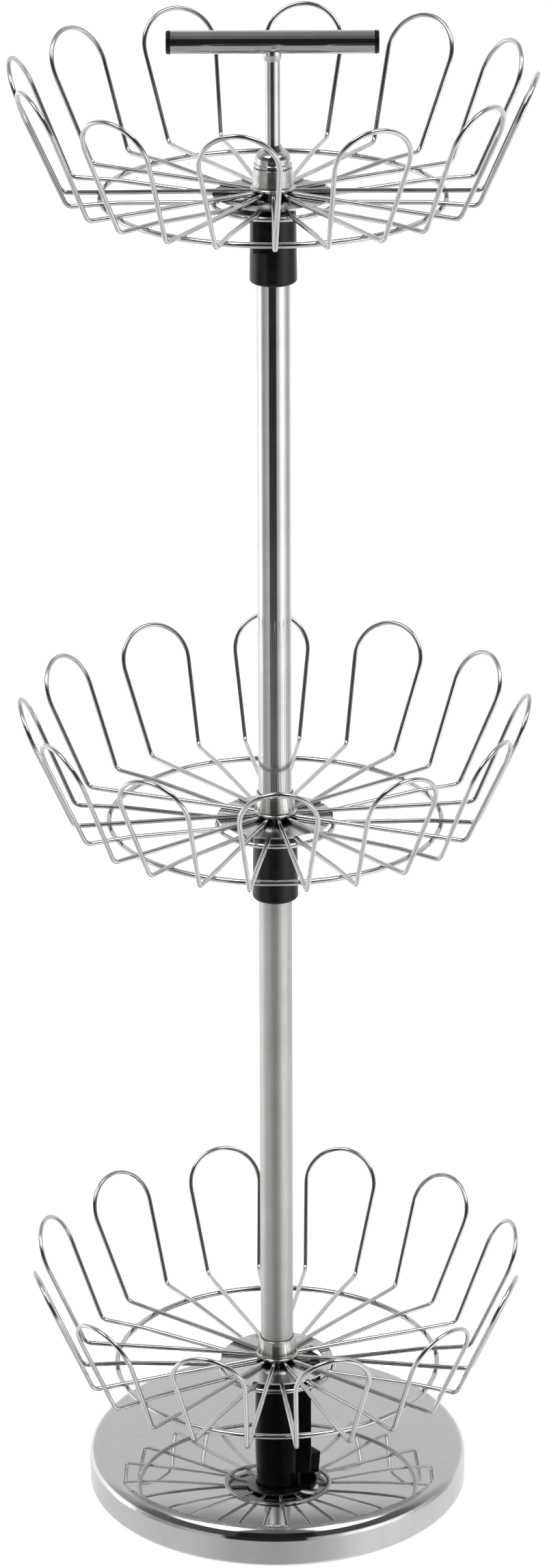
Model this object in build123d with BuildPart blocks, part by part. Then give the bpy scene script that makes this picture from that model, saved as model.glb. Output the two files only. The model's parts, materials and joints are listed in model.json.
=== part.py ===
"""Revolving three-tier wire display rack.  Millimetres, +Z up, origin on the floor under the pole axis."""
from math import asin, atan2, cos, hypot, radians, sin, sqrt
import os

from build123d import *

os.makedirs("parts", exist_ok=True)

# ---------------------------------------------------------------- driving dimensions
# heights of the three tiers (centre plane of the loop wires) above the floor
base_height = 34.1
lower_tier_height = 91.1
middle_tier_height = 488.1
upper_tier_height = 908.0
handle_axis_height = 1003.5

# headings of the tiers at rest: degrees anticlockwise from +X to the first loop
lower_tier_heading = 13.4
middle_tier_heading = 90.8
upper_tier_heading = -127.4

# wire loops
loop_count = 12
wire_radius = 1.6
bend_distance = 132.0  # pole axis to the foot of a loop
bend_half_angle = 7.9  # a loop's two radial wires leave the hub at plus and minus this angle
bend_radius = 6.0
tip_distance = 165.0
tip_height = 79.6
tip_arc_radius = 24.5
upper_wire_level = 0.4  # the wire that lies on the hub plate
lower_wire_level = -4.0  # the wire that lies under the hub plate
upper_wire_start = 9.6
lower_wire_start = 15.5
ramp_start = 42.0  # between these radii both wires run to the same level
ramp_end = 100.0

# rings
ring_wire_radius = 1.9
outer_ring_radius = 108.5
outer_ring_level = -wire_radius - ring_wire_radius
inner_ring_wire_radius = 1.75
inner_ring_radius = 38.0
inner_ring_level = lower_wire_level - wire_radius - inner_ring_wire_radius

# hub, measured from the tier's own plane
plate_radius = 38.0
plate_top = upper_wire_level - wire_radius
plate_bottom = lower_wire_level + wire_radius
window_inner_radius = 18.5
window_outer_radius = 30.5
window_span = 72.0
lug_offset = -11.0  # the bearing lug and the window, from the first loop
collar_bottom = upper_wire_level + wire_radius
collar_top = 16.0
collar_top_radius = 12.5
collar_waist_radius = 13.2
collar_lip_radius = 14.3
neck_radius = 9.2
barrel_radius = 7.5
barrel_top = 8.0
seat_level = 13.0
seat_radius = 11.5
hub_washer_radius = 22.4
hub_washer_top = lower_wire_level - wire_radius
hub_washer_thickness = 1.2
flange_radius = 16.0
flange_top = hub_washer_top - hub_washer_thickness
flange_bottom = -9.4
lug_span = 66.0
lug_bottom = -12.5
lug_inner_radius = 15.0
lug_outer_radius = 28.5
tab_offset = 37.0
tab_span = 20.0
tab_inner_radius = 25.0
tab_outer_radius = 34.0
tab_bottom = -31.0

# fixed pole
spindle_radius = 6.0
bore_radius = spindle_radius + 0.05  # running fit of the bearings
clear_bore_radius = spindle_radius + 0.4
tube_radius = 11.0
tube_wall = 1.2
tube_bore_radius = tube_radius - tube_wall
plug_length = 20.0
tube_foot = seat_level + 0.3
washer_top = flange_bottom - 0.2
washer_thickness = 1.0
washer_radius = 11.0
sleeve_top = washer_top - washer_thickness
pole_sleeve_bottom = -58.4
base_sleeve_bottom = base_height - lower_tier_height
sleeve_top_radius = 14.5
sleeve_bottom_radius = 15.2
sleeve_shoulder = -22.5
sleeve_round = 2.0
rib_reach = 23.1
rib_width = 8.0
rib_height = 35.0

# base
base_radius = 128.1
base_flat_radius = 40.0  # the top is flat to here, then falls gently to the rim
rim_round = 8.8
rim_level = 19.4  # height at which the rim turns into the skirt
rim_sweep = 79.6
curl_round = 3.0
curl_sweep = 60.0
cover_gauge = 0.9
cover_lift = 1.0
pad_radius = 124.0
pad_thickness = 1.6
plate_gauge = 2.0
floor_plate_radius = 125.2
ballast_radius = 119.0
ballast_top = 24.0
ballast_boss_radius = 30.0
nut_pocket_radius = 18.0
nut_pocket_top = 15.0
base_washer_radius = 13.0
base_washer_thickness = 1.6
nut_across_flats = 19.0
nut_height = 6.5
screw_circle_radius = 90.0
screw_count = 4
screw_length = 12.0
screw_radius = 2.0
screw_head_radius = 3.9

# top cap and carrying handle, measured from the upper tier's plane
cap_foot = collar_top + 0.3
cap_lip_radius = 12.1
cap_lip_height = 2.6
cap_radius = 11.1
cap_shoulder = 21.5
dome_round = 5.2
dome_sweep = 78.0
cap_neck_radius = 5.2
cap_top = 30.3
cap_socket_top = 21.5
rod_radius = 4.85
nut_foot = 84.0
nut_belly_level = 89.0
nut_top = 94.0
nut_end_radius = 5.2
nut_belly_radius = 6.1
handle_bar_radius = 7.4
handle_bar_wall = 1.2
handle_length = 132.4
end_cap_flange = 3.0
end_cap_plug = 9.0


def save(part, name):
    """Label a finished piece and write its STEP file."""
    part.label = name
    export_step(part, f"parts/{name}.step")


def polar(radius, angle, height):
    """A point given by its distance from the pole, its angle in degrees and its height."""
    return Vector(radius * cos(radians(angle)), radius * sin(radians(angle)), height)


def make_round_piece(name, foot, top, radius, bore=0.0):
    """A plain cylinder or tube on the pole axis."""
    with BuildPart() as piece:
        with BuildSketch(Plane.XY.offset(foot)):
            Circle(radius)
            if bore > 0:
                Circle(bore, mode=Mode.SUBTRACT)
        extrude(amount=top - foot)
    save(piece.part, name)


# ---------------------------------------------------------------- tier pieces
def loop_halves():
    """Where the loop's straight legs meet its round tip, in the loop's own leaning plane."""
    foot_half_width = bend_distance * sin(radians(bend_half_angle))
    foot_reach = bend_distance * cos(radians(bend_half_angle))
    lean_length = hypot(tip_distance - foot_reach, tip_height)
    lean = Vector(tip_distance - foot_reach, 0, tip_height) / lean_length
    centre_up = lean_length - tip_arc_radius
    to_centre = hypot(foot_half_width, centre_up)
    leg_length = sqrt(to_centre**2 - tip_arc_radius**2)
    leg_angle = atan2(centre_up, -foot_half_width) - asin(tip_arc_radius / to_centre)
    side = foot_half_width + leg_length * cos(leg_angle)
    up = leg_length * sin(leg_angle)
    shoulder = Vector(foot_reach, 0, 0) + lean * up
    tip = Vector(foot_reach, 0, 0) + lean * lean_length
    return Vector(shoulder.X, side, shoulder.Z), tip, Vector(shoulder.X, -side, shoulder.Z)


def make_loops(name, height, heading):
    """Twelve bent-wire loops, each running hub - foot - round tip - foot - hub."""
    shoulder, tip, other_shoulder = loop_halves()
    upper_half = [
        polar(upper_wire_start, bend_half_angle, upper_wire_level),
        polar(ramp_start, bend_half_angle, upper_wire_level),
        polar(ramp_end, bend_half_angle, 0),
        polar(bend_distance, bend_half_angle, 0),
        shoulder,
    ]
    lower_half = [
        other_shoulder,
        polar(bend_distance, -bend_half_angle, 0),
        polar(ramp_end, -bend_half_angle, 0),
        polar(ramp_start, -bend_half_angle, lower_wire_level),
        polar(lower_wire_start, -bend_half_angle, lower_wire_level),
    ]
    with BuildPart() as loop:
        with BuildLine() as centre_line:
            FilletPolyline(*upper_half, radius=bend_radius)
            ThreePointArc(shoulder, tip, other_shoulder)
            FilletPolyline(*lower_half, radius=bend_radius)
        with BuildSketch(Plane(origin=upper_half[0], z_dir=upper_half[1] - upper_half[0])):
            Circle(wire_radius)
        sweep(path=centre_line.line)
    with BuildPart() as loops:
        with Locations(Location((0, 0, height), (0, 0, heading))):
            with PolarLocations(0, loop_count):
                add(loop.part)
    save(loops.part, f"{name}_loops")


def make_ring(name, radius, section_radius, level):
    """A wire ring welded under the radial wires."""
    with BuildPart() as ring:
        with BuildSketch(Plane.XZ):
            with Locations((radius, level)):
                Circle(section_radius)
        revolve(axis=Axis.Z)
    save(ring.part, name)


def arc_slab(inner_radius, outer_radius, span):
    """A flat sector outline centred on +X, to be added to a sketch."""
    ray_start = inner_radius * cos(radians(span / 2))
    ray_rise = inner_radius * sin(radians(span / 2))
    with BuildSketch() as slab:
        with BuildLine():
            CenterArc((0, 0), inner_radius, -span / 2, span)
            CenterArc((0, 0), outer_radius, -span / 2, span)
            PolarLine((ray_start, -ray_rise), outer_radius - inner_radius, -span / 2)
            PolarLine((ray_start, ray_rise), outer_radius - inner_radius, span / 2)
        make_face()
    return slab.sketch


def make_hub_plate(name, height, heading):
    """The round plate between the two layers of radial wires, with its arc window."""
    with BuildPart() as plate:
        with BuildSketch(Plane.XY.offset(height + plate_bottom)):
            Circle(plate_radius)
            Circle(barrel_radius + 0.1, mode=Mode.SUBTRACT)
        extrude(amount=plate_top - plate_bottom)
        with BuildSketch(Plane.XY.offset(height + plate_bottom).rotated((0, 0, heading + lug_offset))):
            add(arc_slab(window_inner_radius, window_outer_radius, window_span))
        extrude(amount=plate_top - plate_bottom, mode=Mode.SUBTRACT)
        window_corners = plate.edges().filter_by(Axis.Z).filter_by(GeomType.LINE)
        corner_edges = [edge for edge in window_corners if hypot(edge.center().X, edge.center().Y) > barrel_radius + 5
                        and hypot(edge.center().X, edge.center().Y) < plate_radius - 5]
        fillet(corner_edges, radius=4)
    save(plate.part, f"{name}_hub_plate")


def make_collar(name, height):
    """The satin funnel that stands on the wires and grips the bearing barrel."""
    with BuildPart() as collar:
        with BuildSketch(Plane.XZ):
            with BuildLine():
                Polyline(
                    (barrel_radius, height + plate_top),
                    (neck_radius, height + plate_top),
                    (neck_radius, height + collar_bottom),
                    (collar_lip_radius - 0.8, height + collar_bottom),
                )
                ThreePointArc(
                    (collar_lip_radius - 0.8, height + collar_bottom),
                    (collar_lip_radius, height + collar_bottom + 0.8),
                    (collar_lip_radius - 0.35, height + collar_bottom + 1.6),
                )
                Spline(
                    (collar_lip_radius - 0.35, height + collar_bottom + 1.6),
                    (collar_waist_radius, height + collar_bottom + 4.5),
                    (collar_top_radius, height + collar_top - 0.8),
                    tangents=((-1, 1), (0, 1)),
                )
                ThreePointArc(
                    (collar_top_radius, height + collar_top - 0.8),
                    (collar_top_radius - 0.24, height + collar_top - 0.24),
                    (collar_top_radius - 0.8, height + collar_top),
                )
                Polyline(
                    (collar_top_radius - 0.8, height + collar_top),
                    (seat_radius, height + collar_top),
                    (seat_radius, height + seat_level),
                    (clear_bore_radius, height + seat_level),
                    (clear_bore_radius, height + barrel_top),
                    (barrel_radius, height + barrel_top),
                    (barrel_radius, height + plate_top),
                )
            make_face()
        revolve(axis=Axis.Z)
    save(collar.part, f"{name}_hub_collar")


def make_bearing(name, height, heading):
    """The black moulded bush: barrel, flange, lug and the tab that hangs from the lug."""
    lug_plane = Plane.XY.offset(height + lug_bottom).rotated((0, 0, heading + lug_offset))
    tab_plane = Plane.XY.offset(height + tab_bottom).rotated((0, 0, heading + lug_offset + tab_offset))
    with BuildPart() as bearing:
        with BuildSketch(Plane.XY.offset(height + flange_bottom)):
            Circle(flange_radius)
        extrude(amount=flange_top - flange_bottom)
        with BuildSketch(Plane.XY.offset(height + flange_bottom)):
            Circle(barrel_radius)
        extrude(amount=barrel_top - flange_bottom)
        with BuildSketch(lug_plane):
            add(arc_slab(lug_inner_radius, lug_outer_radius, lug_span))
        extrude(amount=flange_top - lug_bottom)
        with BuildSketch(tab_plane):
            add(arc_slab(tab_inner_radius, tab_outer_radius, tab_span))
        extrude(amount=flange_bottom - tab_bottom)
        with BuildSketch(Plane.XY.offset(height + flange_bottom)):
            Circle(bore_radius)
        extrude(amount=barrel_top - flange_bottom, mode=Mode.SUBTRACT)
    save(bearing.part, f"{name}_bearing")


def make_tier(name, height, heading):
    """Every piece of one revolving tier."""
    make_loops(name, height, heading)
    make_ring(f"{name}_outer_ring", outer_ring_radius, ring_wire_radius, height + outer_ring_level)
    make_ring(f"{name}_inner_ring", inner_ring_radius, inner_ring_wire_radius, height + inner_ring_level)
    make_hub_plate(name, height, heading)
    make_collar(name, height)
    make_bearing(name, height, heading)
    washer_foot = height + flange_top
    make_round_piece(
        f"{name}_hub_washer",
        washer_foot,
        washer_foot + hub_washer_thickness,
        hub_washer_radius,
        barrel_radius + 0.1,
    )


# ---------------------------------------------------------------- fixed pole pieces
def make_spindle(name, foot, top):
    """A steel spindle with small lead-in chamfers."""
    with BuildPart() as spindle:
        with BuildSketch(Plane.XY.offset(foot)):
            Circle(spindle_radius)
        extrude(amount=top - foot)
        chamfer(spindle.edges().filter_by(GeomType.CIRCLE), length=0.6)
    save(spindle.part, name)


def make_sleeve(name, height, bottom, with_rib=False):
    """The black sleeve under a tier; the lowest one has a rib that stands on the base."""
    foot = height + bottom
    top = height + sleeve_top
    shoulder = height + sleeve_shoulder
    with BuildPart() as sleeve:
        with BuildSketch(Plane.XY.offset(foot)):
            Circle(sleeve_bottom_radius)
        with BuildSketch(Plane.XY.offset(top)):
            Circle(sleeve_top_radius)
        loft()
        fillet(sleeve.edges().sort_by(Axis.Z)[-1], radius=0.8)
        if with_rib:
            with BuildSketch(Plane.XY.offset(foot)):
                with Locations((rib_reach / 2, 0)):
                    RectangleRounded(rib_reach, rib_width, 1.2)
            extrude(amount=rib_height)
        else:
            fillet(sleeve.edges().sort_by(Axis.Z)[0], radius=sleeve_round)
        with BuildSketch(Plane.XY.offset(foot)):
            Circle(tube_radius)
        extrude(amount=shoulder - foot, mode=Mode.SUBTRACT)
        with BuildSketch(Plane.XY.offset(foot)):
            Circle(spindle_radius)
        extrude(amount=top - foot, mode=Mode.SUBTRACT)
    save(sleeve.part, name)


def make_tube_section(name, foot, top):
    """One chromed tube of the pole with the plugs pressed into its two ends."""
    make_round_piece(f"{name}_tube", foot, top, tube_radius, tube_bore_radius)
    make_round_piece(f"{name}_tube_foot_plug", foot, foot + plug_length, tube_bore_radius, spindle_radius)
    make_round_piece(f"{name}_tube_head_plug", top - plug_length, top, tube_bore_radius, spindle_radius)


def make_washer(name, height):
    """The steel thrust washer that a tier turns on."""
    foot = height + sleeve_top
    make_round_piece(name, foot, height + washer_top, washer_radius, spindle_radius)


def make_pole():
    """Sleeves, washers, spindles and tubes from the base up to the top cap."""
    make_sleeve("lower_sleeve", lower_tier_height, base_sleeve_bottom, with_rib=True)
    make_sleeve("middle_sleeve", middle_tier_height, pole_sleeve_bottom)
    make_sleeve("upper_sleeve", upper_tier_height, pole_sleeve_bottom)
    make_washer("lower_thrust_washer", lower_tier_height)
    make_washer("middle_thrust_washer", middle_tier_height)
    make_washer("upper_thrust_washer", upper_tier_height)
    make_round_piece("base_post", base_height, lower_tier_height + sleeve_shoulder, tube_radius, spindle_radius)
    spindle_head = tube_foot + plug_length
    spindle_tail = sleeve_shoulder - plug_length
    base_spindle_foot = nut_pocket_top - base_washer_thickness - nut_height - 1.0
    make_spindle("lower_spindle", base_spindle_foot, lower_tier_height + spindle_head)
    make_spindle("middle_spindle", middle_tier_height + spindle_tail, middle_tier_height + spindle_head)
    make_spindle("upper_spindle", upper_tier_height + spindle_tail, upper_tier_height + cap_socket_top)
    make_tube_section("lower", lower_tier_height + tube_foot, middle_tier_height + sleeve_shoulder)
    make_tube_section("upper", middle_tier_height + tube_foot, upper_tier_height + sleeve_shoulder)


# ---------------------------------------------------------------- base pieces
def make_base_cover():
    """The chromed pressing: flat middle, top that falls gently to a round rim, skirt and curled foot."""
    rim_centre = (base_radius - rim_round, rim_level)
    curl_level = cover_lift + curl_round * sin(radians(curl_sweep))
    curl_centre = (base_radius - curl_round, curl_level)
    rim_slope = (sin(radians(rim_sweep)), -cos(radians(rim_sweep)))
    with BuildPart() as cover:
        with BuildSketch(Plane.XZ):
            with BuildLine():
                hole_edges = []
                foot_edges = []
                for inset in (0, cover_gauge):
                    level = base_height - inset
                    flat = Line((spindle_radius, level), (base_flat_radius, level))
                    rim = CenterArc(rim_centre, rim_round - inset, 0, rim_sweep)
                    Spline(flat @ 1, rim @ 1, tangents=((1, 0), rim_slope))
                    curl = CenterArc(curl_centre, curl_round - inset, -curl_sweep, curl_sweep)
                    Line(rim @ 0, curl @ 1)
                    hole_edges.append(flat @ 0)
                    foot_edges.append(curl @ 0)
                Line(*hole_edges)
                Line(*foot_edges)
            make_face()
        revolve(axis=Axis.Z)
    save(cover.part, "base_cover")


def make_ballast():
    """The cast weight inside the cover, with a boss for the pole and a pocket for the nut."""
    foot = pad_thickness + plate_gauge
    with BuildPart() as ballast:
        with BuildSketch(Plane.XY.offset(foot)):
            Circle(ballast_radius)
        extrude(amount=ballast_top - foot)
        fillet(ballast.edges().sort_by(Axis.Z)[-1], radius=3)
        with BuildSketch(Plane.XY.offset(ballast_top)):
            Circle(ballast_boss_radius)
        extrude(amount=base_height - cover_gauge - ballast_top)
        with BuildSketch(Plane.XY.offset(foot)):
            Circle(nut_pocket_radius)
        extrude(amount=nut_pocket_top - foot, mode=Mode.SUBTRACT)
        with BuildSketch(Plane.XY.offset(foot)):
            Circle(spindle_radius)
        extrude(amount=base_height - foot, mode=Mode.SUBTRACT)
        with BuildSketch(Plane.XY.offset(foot)):
            with PolarLocations(screw_circle_radius, screw_count):
                Circle(screw_radius)
        extrude(amount=screw_length, mode=Mode.SUBTRACT)
    save(ballast.part, "base_ballast")


def make_floor_plate():
    """The steel plate that closes the base, countersunk for its screws."""
    with BuildPart() as plate:
        with BuildSketch(Plane.XY.offset(pad_thickness)):
            Circle(floor_plate_radius)
        extrude(amount=plate_gauge)
        with Locations(Plane.XY.offset(pad_thickness).rotated((180, 0, 0))):
            with PolarLocations(screw_circle_radius, screw_count):
                CounterSinkHole(radius=screw_radius, counter_sink_radius=screw_head_radius, depth=plate_gauge)
    save(plate.part, "base_plate")


def make_base_screws():
    """Countersunk screws that hold the plate to the ballast."""
    head_height = screw_head_radius - screw_radius
    with BuildPart() as screws:
        with BuildSketch(Plane.XY.offset(pad_thickness)):
            with PolarLocations(screw_circle_radius, screw_count):
                Circle(screw_radius)
        extrude(amount=screw_length)
        with PolarLocations(screw_circle_radius, screw_count):
            with Locations((0, 0, pad_thickness)):
                Cone(screw_head_radius, screw_radius, head_height, align=(Align.CENTER, Align.CENTER, Align.MIN))
    save(screws.part, "base_screws")


def make_base_nut():
    """The hexagon nut on the spindle's foot, with its washer above."""
    washer_foot = nut_pocket_top - base_washer_thickness
    make_round_piece("base_washer", washer_foot, nut_pocket_top, base_washer_radius, spindle_radius)
    with BuildPart() as nut:
        with BuildSketch(Plane.XY.offset(washer_foot - nut_height)):
            RegularPolygon(radius=nut_across_flats / 2, side_count=6, major_radius=False)
            Circle(spindle_radius, mode=Mode.SUBTRACT)
        extrude(amount=nut_height)
    save(nut.part, "base_nut")


def make_base():
    """The weighted foot of the rack."""
    make_base_cover()
    make_ballast()
    make_floor_plate()
    make_base_screws()
    make_base_nut()
    make_round_piece("base_pad", 0, pad_thickness, pad_radius)


# ---------------------------------------------------------------- cap and handle
def make_top_cap():
    """The chromed cap: lip, straight side, rounded shoulder and the neck that carries the handle rod."""
    foot = upper_tier_height + cap_foot
    lip_top = foot + cap_lip_height
    top = upper_tier_height + cap_top
    with BuildPart() as cap:
        with BuildSketch(Plane.XZ):
            with BuildLine():
                Polyline((0, foot), (cap_lip_radius - 0.4, foot), (cap_lip_radius, foot + 0.4))
                Polyline((cap_lip_radius, foot + 0.4), (cap_lip_radius, lip_top - 0.6), (cap_radius, lip_top))
                side = Line((cap_radius, lip_top), (cap_radius, upper_tier_height + cap_shoulder))
                dome = JernArc(side @ 1, side % 1, dome_round, dome_sweep)
                Polyline(dome @ 1, (cap_neck_radius, top), (0, top), (0, foot))
            make_face()
        revolve(axis=Axis.Z)
        with BuildSketch(Plane.XY.offset(foot)):
            Circle(spindle_radius)
        extrude(amount=cap_socket_top - cap_foot, mode=Mode.SUBTRACT)
        with BuildSketch(Plane.XY.offset(upper_tier_height + cap_socket_top)):
            Circle(rod_radius)
        extrude(amount=cap_top, mode=Mode.SUBTRACT)
    save(cap.part, "top_cap")


def make_handle_bar():
    """The chromed cross bar, a tube with a hole for the rod in its underside."""
    tube_half_length = handle_length / 2 - end_cap_flange
    with BuildPart() as bar:
        with BuildSketch(Plane.YZ.offset(-tube_half_length)):
            with Locations((0, handle_axis_height)):
                Circle(handle_bar_radius)
                Circle(handle_bar_radius - handle_bar_wall, mode=Mode.SUBTRACT)
        extrude(amount=2 * tube_half_length)
        with BuildSketch(Plane.XY.offset(handle_axis_height - 2 * handle_bar_radius)):
            Circle(rod_radius)
        extrude(amount=2 * handle_bar_radius, mode=Mode.SUBTRACT)
    save(bar.part, "handle_bar")


def make_handle_nut():
    """The round-bellied nut under the bar, hollowed to the bar's curve."""
    foot = upper_tier_height + nut_foot
    top = upper_tier_height + nut_top
    with BuildPart() as nut:
        with BuildSketch(Plane.XZ):
            with BuildLine():
                Polyline((nut_end_radius, top), (rod_radius, top), (rod_radius, foot), (nut_end_radius, foot))
                ThreePointArc(
                    (nut_end_radius, foot),
                    (nut_belly_radius, upper_tier_height + nut_belly_level),
                    (nut_end_radius, top),
                )
            make_face()
        revolve(axis=Axis.Z)
        with BuildSketch(Plane.YZ.offset(-2 * nut_belly_radius)):
            with Locations((0, handle_axis_height)):
                Circle(handle_bar_radius)
        extrude(amount=4 * nut_belly_radius, mode=Mode.SUBTRACT)
    save(nut.part, "handle_nut")


def make_end_caps():
    """The two black plugs in the bar's ends."""
    tube_half_length = handle_length / 2 - end_cap_flange
    with BuildPart() as end_caps:
        for side in (-1, 1):
            with BuildSketch(Plane.YZ.offset(side * tube_half_length)):
                with Locations((0, handle_axis_height)):
                    Circle(handle_bar_radius)
            extrude(amount=side * end_cap_flange)
            with BuildSketch(Plane.YZ.offset(side * tube_half_length)):
                with Locations((0, handle_axis_height)):
                    Circle(handle_bar_radius - handle_bar_wall)
            extrude(amount=-side * end_cap_plug)
        outer_edges = end_caps.edges().filter_by(GeomType.CIRCLE).group_by(Axis.X)
        fillet([*outer_edges[0], *outer_edges[-1]], radius=1.2)
    save(end_caps.part, "handle_end_caps")


def make_handle():
    """Everything above the cap."""
    make_round_piece("handle_rod", upper_tier_height + cap_socket_top, handle_axis_height, rod_radius)
    make_handle_bar()
    make_handle_nut()
    make_end_caps()


# ---------------------------------------------------------------- the rack
make_base()
make_pole()
make_tier("lower", lower_tier_height, lower_tier_heading)
make_tier("middle", middle_tier_height, middle_tier_heading)
make_tier("upper", upper_tier_height, upper_tier_heading)
make_top_cap()
make_handle()
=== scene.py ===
"""Looks of the revolving three-tier wire rack: camera, studio, metals, plastics and rubber."""
import json
import math

import bmesh
import bpy
from mathutils import Matrix, Vector


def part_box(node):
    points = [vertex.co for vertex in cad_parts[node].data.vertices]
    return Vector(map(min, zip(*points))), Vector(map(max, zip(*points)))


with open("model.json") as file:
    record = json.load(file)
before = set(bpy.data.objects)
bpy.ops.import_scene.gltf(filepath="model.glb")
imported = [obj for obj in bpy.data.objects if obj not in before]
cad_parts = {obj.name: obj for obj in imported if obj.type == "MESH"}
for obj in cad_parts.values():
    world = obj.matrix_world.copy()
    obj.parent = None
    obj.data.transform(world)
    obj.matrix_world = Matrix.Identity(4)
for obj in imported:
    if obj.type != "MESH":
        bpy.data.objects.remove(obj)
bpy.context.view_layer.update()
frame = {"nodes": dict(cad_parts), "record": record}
nodes = frame["nodes"]

# ---------------------------------------------------------------- camera
CAMERA_DISTANCE = 3.3931  # from the pole axis to the lens, along -Y
CAMERA_ABOVE_UPPER_TIER = 0.9540
CAMERA_PITCH = math.radians(21.738)
CAMERA_ROLL = math.radians(-0.2005)
CAMERA_LENS = 128.7055  # millimetres, on a sensor as wide as the picture's longer side
CAMERA_SHIFT = -0.0010026  # part of the picture's longer side
SENSOR = 36.0
WIRE_RADIUS = 0.0016


def tier_level(tier):
    """Height of the plane through the feet of a tier's loops."""
    ring_low, ring_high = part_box(f"{tier}_outer_ring")
    ring_gauge = ring_high[2] - ring_low[2]
    return ring_low[2] + ring_gauge + WIRE_RADIUS


def make_camera():
    """The viewpoint of the picture: in front, above, looking down at the pole."""
    data = bpy.data.cameras.new("camera")
    data.sensor_width = SENSOR
    data.lens = CAMERA_LENS
    data.shift_x = CAMERA_SHIFT
    camera = bpy.data.objects.new("camera", data)
    bpy.context.scene.collection.objects.link(camera)
    camera.location = (0, -CAMERA_DISTANCE, tier_level("upper") + CAMERA_ABOVE_UPPER_TIER)
    aim = Matrix.Rotation(math.pi / 2 - CAMERA_PITCH, 4, "X")
    roll = Matrix.Rotation(CAMERA_ROLL, 4, "Z")
    camera.rotation_euler = (aim @ roll).to_euler()
    bpy.context.scene.camera = camera


# ---------------------------------------------------------------- node helpers
def value_node(tree, kind, **settings):
    """Adds a node and sets its plain properties."""
    node = tree.nodes.new(kind)
    for name, value in settings.items():
        setattr(node, name, value)
    return node


def math_node(tree, operation, first, second=None):
    """A Math node fed by sockets or numbers."""
    node = value_node(tree, "ShaderNodeMath", operation=operation)
    for slot, source in enumerate((first, second)):
        if source is None:
            continue
        if isinstance(source, (int, float)):
            node.inputs[slot].default_value = source
        else:
            tree.links.new(source, node.inputs[slot])
    return node.outputs[0]


def blend_values(tree, factor, low, high):
    """low where factor is 0, high where it is 1."""
    node = value_node(tree, "ShaderNodeMix", data_type="FLOAT")
    for name, source in (("Factor", factor), ("A", low), ("B", high)):
        if isinstance(source, (int, float)):
            node.inputs[name].default_value = source
        else:
            tree.links.new(source, node.inputs[name])
    return node.outputs["Result"]


def smooth_step(tree, source, start, end):
    """0 below start, 1 above end, smooth between."""
    node = value_node(tree, "ShaderNodeMapRange", interpolation_type="SMOOTHSTEP")
    tree.links.new(source, node.inputs["Value"])
    node.inputs["From Min"].default_value = start
    node.inputs["From Max"].default_value = end
    return node.outputs["Result"]


# ---------------------------------------------------------------- studio
# Brightness round the studio by compass angle in degrees: 0 is in front of the rack, positive to its right.
# The tones were set from the reflections that the picture shows in the pole, the bar and the base.
FLOOR_BAND = (
    (-180, 0.9), (-120, 0.85), (-60, 0.76), (-20, 0.55), (0, 0.5),
    (20, 0.6), (60, 1.0), (120, 0.95), (180, 0.9),
)
HORIZON_BAND = (
    (-180, 1.05), (-130, 1.3), (-108, 1.8), (-95, 1.7), (-85, 0.7), (-76, 0.44), (-61, 0.44), (-50, 0.6),
    (-34, 0.6), (-29, 0.03), (15, 0.03), (21, 0.55), (34, 0.8), (44, 1.45), (57, 1.8), (72, 1.45),
    (90, 0.76), (110, 0.54), (138, 1.07), (180, 1.05),
)
WALL_BAND = (
    (-180, 0.78), (-125, 0.78), (-104, 0.5), (-80, 0.16), (-50, 0.1), (-27, 0.08), (-22, 0.02),
    (20, 0.02), (26, 0.08), (50, 0.1), (80, 0.16), (104, 0.5), (125, 0.78), (180, 0.78),
)
LAMP_BAND = (
    (-180, 0.3), (-120, 0.4), (-86, 0.6), (-74, 3.0), (-36, 3.0), (-25, 0.25), (0, 0.16),
    (25, 0.25), (36, 3.0), (74, 3.0), (86, 0.6), (120, 0.4), (180, 0.3),
)
# Each band above the floor fades in between two elevations in degrees.
BAND_EDGES = ((-30, -17, HORIZON_BAND), (-8, 6, WALL_BAND), (40, 50, LAMP_BAND))
CEILING_EDGE = (72, 80)
CEILING_TONE = 0.27
BACKDROP_TONE = 1.0
FLOOR_HALF_SIDE = 14.0
FLOOR_GLOW = 0.82
LAMP_AIM = Vector((0, 0, 0.4))
RAMP_SCALE = 3.0  # colour ramps hold 0 to 1, so tones are stored divided by this


def compass_ramp(tree, turn, band):
    """A ramp round the compass that follows the (angle, tone) pairs of one band."""
    node = value_node(tree, "ShaderNodeValToRGB")
    ramp = node.color_ramp
    ramp.interpolation = "EASE"
    for index, (angle, tone) in enumerate(band):
        place = (angle + 180) / 360
        if index < 2:
            stop = ramp.elements[index]
            stop.position = place
        else:
            stop = ramp.elements.new(place)
        level = tone / RAMP_SCALE
        stop.color = (level, level, level, 1)
    tree.links.new(turn, node.inputs["Fac"])
    return math_node(tree, "MULTIPLY", node.outputs["Color"], RAMP_SCALE)


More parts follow.
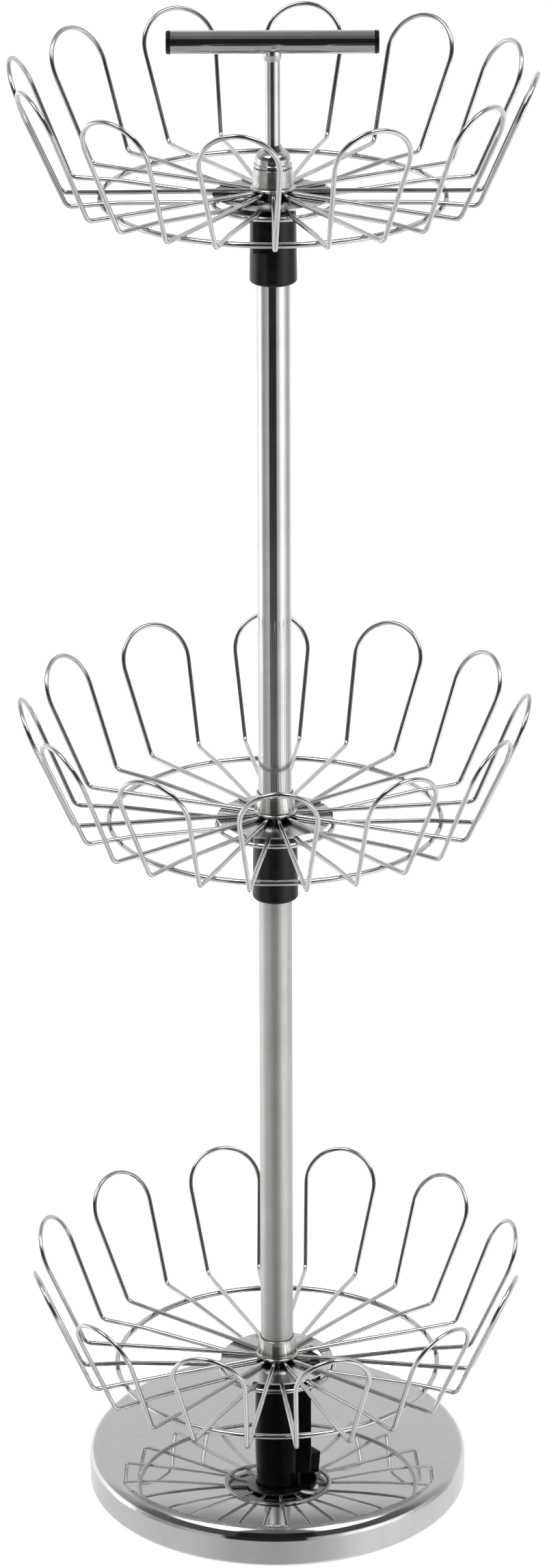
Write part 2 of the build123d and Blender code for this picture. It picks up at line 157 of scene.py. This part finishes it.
def make_world():
    """Soft boxes left and right, a dark gap in front where the camera stands, and a pale room elsewhere."""
    world = bpy.data.worlds.new("studio")
    bpy.context.scene.world = world
    world.use_nodes = True
    tree = world.node_tree
    tree.nodes.clear()
    where = value_node(tree, "ShaderNodeTexCoord")
    split = value_node(tree, "ShaderNodeSeparateXYZ")
    tree.links.new(where.outputs["Generated"], split.inputs[0])
    to_front = math_node(tree, "MULTIPLY", split.outputs["Y"], -1)
    angle = math_node(tree, "ARCTAN2", split.outputs["X"], to_front)
    turn = math_node(tree, "ADD", math_node(tree, "DIVIDE", angle, 2 * math.pi), 0.5)
    rise = math_node(tree, "ARCSINE", split.outputs["Z"])
    degrees = math_node(tree, "MULTIPLY", rise, 180 / math.pi)
    tone = compass_ramp(tree, turn, FLOOR_BAND)
    for start, end, band in BAND_EDGES:
        fade = smooth_step(tree, degrees, start, end)
        tone = blend_values(tree, fade, tone, compass_ramp(tree, turn, band))
    tone = blend_values(tree, smooth_step(tree, degrees, *CEILING_EDGE), tone, CEILING_TONE)
    path = value_node(tree, "ShaderNodeLightPath")
    tone = blend_values(tree, path.outputs["Is Camera Ray"], tone, BACKDROP_TONE)
    background = value_node(tree, "ShaderNodeBackground")
    background.inputs["Color"].default_value = (1, 1, 1, 1)
    tree.links.new(tone, background.inputs["Strength"])
    output = value_node(tree, "ShaderNodeOutputWorld")
    tree.links.new(background.outputs[0], output.inputs["Surface"])


def make_floor():
    """A pale floor far wider than the view."""
    mesh = bpy.data.meshes.new("studio_floor")
    shape = bmesh.new()
    bmesh.ops.create_grid(shape, x_segments=1, y_segments=1, size=FLOOR_HALF_SIDE)
    shape.to_mesh(mesh)
    shape.free()
    floor = bpy.data.objects.new("studio_floor", mesh)
    bpy.context.scene.collection.objects.link(floor)
    material = bpy.data.materials.new("studio_paper")
    material.use_nodes = True
    shader = material.node_tree.nodes["Principled BSDF"]
    shader.inputs["Base Color"].default_value = (0.6, 0.6, 0.6, 1)
    shader.inputs["Roughness"].default_value = 0.9
    shader.inputs["Specular IOR Level"].default_value = 0.0
    shader.inputs["Emission Color"].default_value = (1, 1, 1, 1)
    shader.inputs["Emission Strength"].default_value = FLOOR_GLOW
    mesh.materials.append(material)
    floor.visible_glossy = False


def make_lamp(name, place, size, power):
    """A soft square lamp that lights matt surfaces; the shine comes from the world."""
    data = bpy.data.lights.new(name, "AREA")
    data.size = size
    data.energy = power
    lamp = bpy.data.objects.new(name, data)
    bpy.context.scene.collection.objects.link(lamp)
    lamp.location = place
    lamp.rotation_euler = (LAMP_AIM - Vector(place)).to_track_quat("-Z", "Y").to_euler()
    lamp.visible_glossy = False


def make_lamps():
    """Two soft boxes and an overhead lamp."""
    make_lamp("lamp_left", (-2.2, -1.6, 2.4), 1.6, 28)
    make_lamp("lamp_right", (2.2, -1.6, 2.4), 1.6, 28)
    make_lamp("lamp_top", (0, 0.6, 3.0), 2.4, 36)


# ---------------------------------------------------------------- materials
def object_point(tree, stretch=(1, 1, 1)):
    """The place on the piece in metres, with each axis stretched for directional patterns."""
    where = value_node(tree, "ShaderNodeTexCoord")
    mapping = value_node(tree, "ShaderNodeMapping")
    mapping.inputs["Scale"].default_value = stretch
    tree.links.new(where.outputs["Object"], mapping.inputs["Vector"])
    return mapping.outputs["Vector"]


def noise(tree, point, scale, detail=3.0, roughness=0.55):
    """Noise at a scale in features per metre."""
    node = value_node(tree, "ShaderNodeTexNoise")
    node.inputs["Scale"].default_value = scale
    node.inputs["Detail"].default_value = detail
    node.inputs["Roughness"].default_value = roughness
    tree.links.new(point, node.inputs["Vector"])
    return node.outputs["Fac"]


def vary(tree, factor, low, high, start=0.3, end=0.7):
    """Maps noise between start and end to the range low to high."""
    node = value_node(tree, "ShaderNodeMapRange")
    tree.links.new(factor, node.inputs["Value"])
    for name, number in (("From Min", start), ("From Max", end), ("To Min", low), ("To Max", high)):
        node.inputs[name].default_value = number
    return node.outputs["Result"]


def tint(tree, factor, dark, light, start=0.35, end=0.65):
    """A colour between dark and light, led by noise."""
    node = value_node(tree, "ShaderNodeValToRGB")
    node.color_ramp.elements[0].position = start
    node.color_ramp.elements[0].color = (*dark, 1)
    node.color_ramp.elements[1].position = end
    node.color_ramp.elements[1].color = (*light, 1)
    tree.links.new(factor, node.inputs["Fac"])
    return node.outputs["Color"]


def bump(tree, height, depth, strength=1.0, under=None):
    """A bump of that depth in metres, on top of another if one is given."""
    node = value_node(tree, "ShaderNodeBump")
    node.inputs["Strength"].default_value = strength
    node.inputs["Distance"].default_value = depth
    tree.links.new(height, node.inputs["Height"])
    if under is not None:
        tree.links.new(under, node.inputs["Normal"])
    return node.outputs["Normal"]


def new_material(name, metallic):
    """An empty material: (material, node tree, shader)."""
    material = bpy.data.materials.new(name)
    material.use_nodes = True
    tree = material.node_tree
    shader = tree.nodes["Principled BSDF"]
    shader.inputs["Metallic"].default_value = metallic
    return material, tree, shader


def wire_chrome():
    """Bright chrome on drawn steel wire: faint cloudiness, fine pits and a slight waviness."""
    material, tree, shader = new_material("wire_chrome", 1.0)
    point = object_point(tree)
    cloud = noise(tree, point, 45)
    grain = noise(tree, point, 1400, detail=2)
    wave = noise(tree, point, 120, detail=1)
    tree.links.new(tint(tree, cloud, (0.62, 0.62, 0.615), (0.72, 0.72, 0.72)), shader.inputs["Base Color"])
    tree.links.new(vary(tree, grain, 0.07, 0.14), shader.inputs["Roughness"])
    surface = bump(tree, wave, 0.00015, 0.5)
    tree.links.new(bump(tree, grain, 0.00002, 0.5, surface), shader.inputs["Normal"])
    return material


def plate_chrome():
    """Chrome on a stamped plate: duller, with an orange-peel surface and small stains."""
    material, tree, shader = new_material("plate_chrome", 1.0)
    point = object_point(tree)
    peel = noise(tree, point, 500, detail=2)
    stain = noise(tree, point, 160, detail=4, roughness=0.7)
    tree.links.new(tint(tree, stain, (0.60, 0.595, 0.585), (0.72, 0.72, 0.715)), shader.inputs["Base Color"])
    tree.links.new(vary(tree, stain, 0.19, 0.12), shader.inputs["Roughness"])
    tree.links.new(bump(tree, peel, 0.00003, 0.5), shader.inputs["Normal"])
    return material


def satin_nickel():
    """Turned satin nickel: fine rings round the axis and a warm grey tone."""
    material, tree, shader = new_material("satin_nickel", 1.0)
    rings = noise(tree, object_point(tree, (30, 30, 5200)), 1, detail=3, roughness=0.6)
    cloud = noise(tree, object_point(tree), 110)
    tree.links.new(tint(tree, cloud, (0.64, 0.625, 0.60), (0.72, 0.71, 0.69)), shader.inputs["Base Color"])
    tree.links.new(vary(tree, rings, 0.15, 0.22), shader.inputs["Roughness"])
    shader.inputs["Anisotropic"].default_value = 0.2
    tree.links.new(bump(tree, rings, 0.000006, 0.4), shader.inputs["Normal"])
    return material


def polished_chrome():
    """Polished chrome tube: almost a mirror, with faint draw lines along it and polishing haze."""
    material, tree, shader = new_material("polished_chrome", 1.0)
    draw_lines = noise(tree, object_point(tree, (900, 900, 6)), 1, detail=2)
    haze = noise(tree, object_point(tree), 60, detail=4)
    tree.links.new(tint(tree, haze, (0.57, 0.57, 0.57), (0.63, 0.63, 0.635)), shader.inputs["Base Color"])
    tree.links.new(vary(tree, haze, 0.045, 0.09), shader.inputs["Roughness"])
    tree.links.new(bump(tree, draw_lines, 0.00001, 0.35), shader.inputs["Normal"])
    return material


def satin_tube():
    """Satin tube: soft reflections, lengthwise brushing and a slightly warm tone."""
    material, tree, shader = new_material("satin_tube", 1.0)
    brushing = noise(tree, object_point(tree, (2400, 2400, 9)), 1, detail=3)
    haze = noise(tree, object_point(tree), 40, detail=4)
    tree.links.new(tint(tree, haze, (0.60, 0.595, 0.575), (0.66, 0.655, 0.64)), shader.inputs["Base Color"])
    tree.links.new(vary(tree, brushing, 0.38, 0.48), shader.inputs["Roughness"])
    tree.links.new(bump(tree, brushing, 0.00002, 0.4), shader.inputs["Normal"])
    return material


def mirror_chrome():
    """The base pressing: a mirror with the long, shallow waves of stamped sheet and faint wipe marks."""
    material, tree, shader = new_material("mirror_chrome", 1.0)
    wave = noise(tree, object_point(tree), 9, detail=1)
    wipes = noise(tree, object_point(tree, (1, 3, 1)), 70, detail=5, roughness=0.65)
    tree.links.new(tint(tree, wipes, (0.585, 0.585, 0.59), (0.615, 0.615, 0.62)), shader.inputs["Base Color"])
    tree.links.new(vary(tree, wipes, 0.02, 0.05), shader.inputs["Roughness"])
    tree.links.new(bump(tree, wave, 0.0004, 0.15), shader.inputs["Normal"])
    return material


def black_plastic():
    """Black moulded plastic: soft gloss, fine moulding texture and faint rubbed patches."""
    material, tree, shader = new_material("black_plastic", 0.0)
    point = object_point(tree)
    texture = noise(tree, point, 1500, detail=2)
    rubbed = noise(tree, point, 90, detail=4)
    colour = tint(tree, rubbed, (0.003, 0.003, 0.0035), (0.006, 0.006, 0.007))
    tree.links.new(colour, shader.inputs["Base Color"])
    tree.links.new(vary(tree, rubbed, 0.16, 0.26), shader.inputs["Roughness"])
    tree.links.new(bump(tree, texture, 0.00001, 0.4), shader.inputs["Normal"])
    shader.inputs["Specular IOR Level"].default_value = 0.28
    return material


def grey_nylon():
    """Natural nylon plugs inside the tubes."""
    material, tree, shader = new_material("grey_nylon", 0.0)
    point = object_point(tree)
    cloud = noise(tree, point, 150)
    tree.links.new(tint(tree, cloud, (0.50, 0.50, 0.47), (0.58, 0.58, 0.55)), shader.inputs["Base Color"])
    tree.links.new(vary(tree, cloud, 0.45, 0.6), shader.inputs["Roughness"])
    tree.links.new(bump(tree, noise(tree, point, 1200), 0.00003, 0.5), shader.inputs["Normal"])
    return material


def black_rubber():
    """The rubber pad: matt, dusty, with a fine grain."""
    material, tree, shader = new_material("black_rubber", 0.0)
    point = object_point(tree)
    dust = noise(tree, point, 60, detail=5)
    colour = tint(tree, dust, (0.018, 0.018, 0.018), (0.035, 0.034, 0.033))
    tree.links.new(colour, shader.inputs["Base Color"])
    tree.links.new(vary(tree, dust, 0.75, 0.9), shader.inputs["Roughness"])
    tree.links.new(bump(tree, noise(tree, point, 2000), 0.00006, 0.7), shader.inputs["Normal"])
    return material


def cast_weight():
    """The rough casting inside the base."""
    material, tree, shader = new_material("cast_weight", 0.0)
    point = object_point(tree)
    lumps = noise(tree, point, 260, detail=6, roughness=0.7)
    tree.links.new(tint(tree, lumps, (0.20, 0.20, 0.19), (0.34, 0.335, 0.32)), shader.inputs["Base Color"])
    tree.links.new(vary(tree, lumps, 0.8, 0.95), shader.inputs["Roughness"])
    tree.links.new(bump(tree, lumps, 0.0005, 0.8), shader.inputs["Normal"])
    return material


def zinc_steel():
    """Zinc-plated steel: bluish grey with a spangled tone."""
    material, tree, shader = new_material("zinc_steel", 1.0)
    point = object_point(tree)
    spangle = noise(tree, point, 420, detail=1)
    tree.links.new(tint(tree, spangle, (0.40, 0.41, 0.43), (0.56, 0.57, 0.58)), shader.inputs["Base Color"])
    tree.links.new(vary(tree, spangle, 0.28, 0.42), shader.inputs["Roughness"])
    tree.links.new(bump(tree, noise(tree, point, 1800), 0.00002, 0.5), shader.inputs["Normal"])
    return material


def dress_nodes():
    """Gives every CAD piece the material of its record slot."""
    by_slot = {
        "chromed_wire": wire_chrome(),
        "chromed_plate": plate_chrome(),
        "satin_collar": satin_nickel(),
        "satin_tube": satin_tube(),
        "polished_chrome": polished_chrome(),
        "base_chrome": mirror_chrome(),
        "black_plastic": black_plastic(),
        "grey_nylon": grey_nylon(),
        "black_rubber": black_rubber(),
        "cast_weight": cast_weight(),
        "zinc_steel": zinc_steel(),
    }
    for entry in frame["record"]["subparts"]:
        piece = nodes[entry["node"]]
        if not piece.material_slots:
            piece.data.materials.append(None)
        for material_slot in piece.material_slots:
            material_slot.material = by_slot[entry["material_slot"]]


# ---------------------------------------------------------------- build
bpy.context.scene.view_settings.view_transform = "Standard"
make_camera()
make_world()
make_floor()
make_lamps()
dress_nodes()
